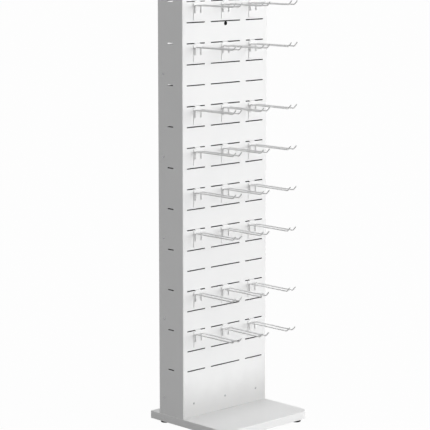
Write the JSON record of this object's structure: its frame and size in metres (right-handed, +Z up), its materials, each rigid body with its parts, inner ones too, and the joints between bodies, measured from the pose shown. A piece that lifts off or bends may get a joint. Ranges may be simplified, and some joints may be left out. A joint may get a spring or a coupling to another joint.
{
  "type": "rotating display rack",
  "caption": "Free-standing display rack: a slotted white steel column on a low turning base, with double-prong wire hooks hung in its slots for hanging goods.",
  "frame": {"origin": "on the floor, under the middle of the base, on the turning axis", "axes": "+Z up, +X along the slots to the right of someone facing the hooks, +Y from the hooks to the back"},
  "size_m": [0.4046, 0.383, 1.58],
  "materials": {
    "white_powder_coat": "satin powder coat",
    "white_hook_coat": "satin powder coat",
    "zinc_plate": "zinc plated",
    "bearing_steel": "ground",
    "black_frame_coat": "matt black paint",
    "foot_rubber": "matt",
    "plug_black": "moulded"
  },
  "bodies": {
    "floor_frame": {"floor_frame": "black_frame_coat", "foot_pad_front_left": "foot_rubber", "foot_pad_front_right": "foot_rubber", "foot_pad_rear_left": "foot_rubber", "foot_pad_rear_right": "foot_rubber", "lower_race": "bearing_steel"},
    "ball_cage": {"ball_cage": "bearing_steel"},
    "rack": {"upper_race": "bearing_steel", "pivot_stud": "zinc_plate", "base_pan": "white_powder_coat", "column_bracket": "zinc_plate", "bracket_bolt_1": "zinc_plate", "bracket_bolt_2": "zinc_plate", "bracket_bolt_3": "zinc_plate", "bracket_bolt_4": "zinc_plate", "column_shell": "white_powder_coat", "rear_panel": "white_powder_coat", "top_cap": "white_powder_coat", "front_screw_1": "zinc_plate", "front_screw_2": "zinc_plate", "front_screw_3": "zinc_plate", "side_screw_left_1": "zinc_plate", "side_screw_left_2": "zinc_plate", "side_screw_left_3": "zinc_plate", "side_screw_left_4": "zinc_plate", "side_screw_left_5": "zinc_plate", "side_screw_left_6": "zinc_plate", "side_screw_right_1": "zinc_plate", "side_screw_right_2": "zinc_plate", "side_screw_right_3": "zinc_plate", "side_screw_right_4": "zinc_plate", "side_screw_right_5": "zinc_plate", "side_screw_right_6": "zinc_plate", "front_plug": "plug_black"},
    "hook_1_left": {"hook_1_left": "white_hook_coat"},
    "hook_1_middle": {"hook_1_middle": "white_hook_coat"},
    "hook_1_right": {"hook_1_right": "white_hook_coat"},
    "hook_2_left": {"hook_2_left": "white_hook_coat"},
    "hook_2_middle": {"hook_2_middle": "white_hook_coat"},
    "hook_2_right": {"hook_2_right": "white_hook_coat"},
    "hook_3_left": {"hook_3_left": "white_hook_coat"},
    "hook_3_middle": {"hook_3_middle": "white_hook_coat"},
    "hook_3_right": {"hook_3_right": "white_hook_coat"},
    "hook_4_left": {"hook_4_left": "white_hook_coat"},
    "hook_4_middle": {"hook_4_middle": "white_hook_coat"},
    "hook_4_right": {"hook_4_right": "white_hook_coat"},
    "hook_5_left": {"hook_5_left": "white_hook_coat"},
    "hook_5_middle": {"hook_5_middle": "white_hook_coat"},
    "hook_5_right": {"hook_5_right": "white_hook_coat"},
    "hook_6_left": {"hook_6_left": "white_hook_coat"},
    "hook_6_middle": {"hook_6_middle": "white_hook_coat"},
    "hook_6_right": {"hook_6_right": "white_hook_coat"},
    "hook_7_left": {"hook_7_left": "white_hook_coat"},
    "hook_7_middle": {"hook_7_middle": "white_hook_coat"},
    "hook_7_right": {"hook_7_right": "white_hook_coat"},
    "hook_8_left": {"hook_8_left": "white_hook_coat"},
    "hook_8_middle": {"hook_8_middle": "white_hook_coat"},
    "hook_8_right": {"hook_8_right": "white_hook_coat"}
  },
  "joints": [
    {"name": "rack_turn", "type": "hinge", "parent": "floor_frame", "child": "rack", "pos_m": [0, 0, 0], "axis": [0, 0, 1], "continuous": true},
    {"name": "ball_cage_turn", "type": "hinge", "parent": "floor_frame", "child": "ball_cage", "pos_m": [0, 0, 0], "axis": [0, 0, 1], "continuous": true},
    {"name": "hook_1_left_slide", "type": "slide", "parent": "rack", "child": "hook_1_left", "axis": [1, 0, 0], "range_m": [-0.0372, 0.0208]},
    {"name": "hook_1_middle_slide", "type": "slide", "parent": "rack", "child": "hook_1_middle", "axis": [1, 0, 0], "range_m": [-0.0561, 0.0561]},
    {"name": "hook_1_right_slide", "type": "slide", "parent": "rack", "child": "hook_1_right", "axis": [1, 0, 0], "range_m": [-0.0208, 0.0372]},
    {"name": "hook_2_left_slide", "type": "slide", "parent": "rack", "child": "hook_2_left", "axis": [1, 0, 0], "range_m": [-0.0372, 0.0208]},
    {"name": "hook_2_middle_slide", "type": "slide", "parent": "rack", "child": "hook_2_middle", "axis": [1, 0, 0], "range_m": [-0.0561, 0.0561]},
    {"name": "hook_2_right_slide", "type": "slide", "parent": "rack", "child": "hook_2_right", "axis": [1, 0, 0], "range_m": [-0.0208, 0.0372]},
    {"name": "hook_3_left_slide", "type": "slide", "parent": "rack", "child": "hook_3_left", "axis": [1, 0, 0], "range_m": [-0.0372, 0.0208]},
    {"name": "hook_3_middle_slide", "type": "slide", "parent": "rack", "child": "hook_3_middle", "axis": [1, 0, 0], "range_m": [-0.0561, 0.0561]},
    {"name": "hook_3_right_slide", "type": "slide", "parent": "rack", "child": "hook_3_right", "axis": [1, 0, 0], "range_m": [-0.0208, 0.0372]},
    {"name": "hook_4_left_slide", "type": "slide", "parent": "rack", "child": "hook_4_left", "axis": [1, 0, 0], "range_m": [-0.0372, 0.0208]},
    {"name": "hook_4_middle_slide", "type": "slide", "parent": "rack", "child": "hook_4_middle", "axis": [1, 0, 0], "range_m": [-0.0561, 0.0561]},
    {"name": "hook_4_right_slide", "type": "slide", "parent": "rack", "child": "hook_4_right", "axis": [1, 0, 0], "range_m": [-0.0208, 0.0372]},
    {"name": "hook_5_left_slide", "type": "slide", "parent": "rack", "child": "hook_5_left", "axis": [1, 0, 0], "range_m": [-0.0372, 0.0208]},
    {"name": "hook_5_middle_slide", "type": "slide", "parent": "rack", "child": "hook_5_middle", "axis": [1, 0, 0], "range_m": [-0.0561, 0.0561]},
    {"name": "hook_5_right_slide", "type": "slide", "parent": "rack", "child": "hook_5_right", "axis": [1, 0, 0], "range_m": [-0.0208, 0.0372]},
    {"name": "hook_6_left_slide", "type": "slide", "parent": "rack", "child": "hook_6_left", "axis": [1, 0, 0], "range_m": [-0.0372, 0.0208]},
    {"name": "hook_6_middle_slide", "type": "slide", "parent": "rack", "child": "hook_6_middle", "axis": [1, 0, 0], "range_m": [-0.0561, 0.0561]},
    {"name": "hook_6_right_slide", "type": "slide", "parent": "rack", "child": "hook_6_right", "axis": [1, 0, 0], "range_m": [-0.0208, 0.0372]},
    {"name": "hook_7_left_slide", "type": "slide", "parent": "rack", "child": "hook_7_left", "axis": [1, 0, 0], "range_m": [-0.0372, 0.0208]},
    {"name": "hook_7_middle_slide", "type": "slide", "parent": "rack", "child": "hook_7_middle", "axis": [1, 0, 0], "range_m": [-0.0561, 0.0561]},
    {"name": "hook_7_right_slide", "type": "slide", "parent": "rack", "child": "hook_7_right", "axis": [1, 0, 0], "range_m": [-0.0208, 0.0372]},
    {"name": "hook_8_left_slide", "type": "slide", "parent": "rack", "child": "hook_8_left", "axis": [1, 0, 0], "range_m": [-0.0372, 0.0208]},
    {"name": "hook_8_middle_slide", "type": "slide", "parent": "rack", "child": "hook_8_middle", "axis": [1, 0, 0], "range_m": [-0.0561, 0.0561]},
    {"name": "hook_8_right_slide", "type": "slide", "parent": "rack", "child": "hook_8_right", "axis": [1, 0, 0], "range_m": [-0.0208, 0.0372]}
  ],
  "couplings": [
    {"joint": "ball_cage_turn", "follows": "rack_turn", "ratio": 0.5}
  ]
}
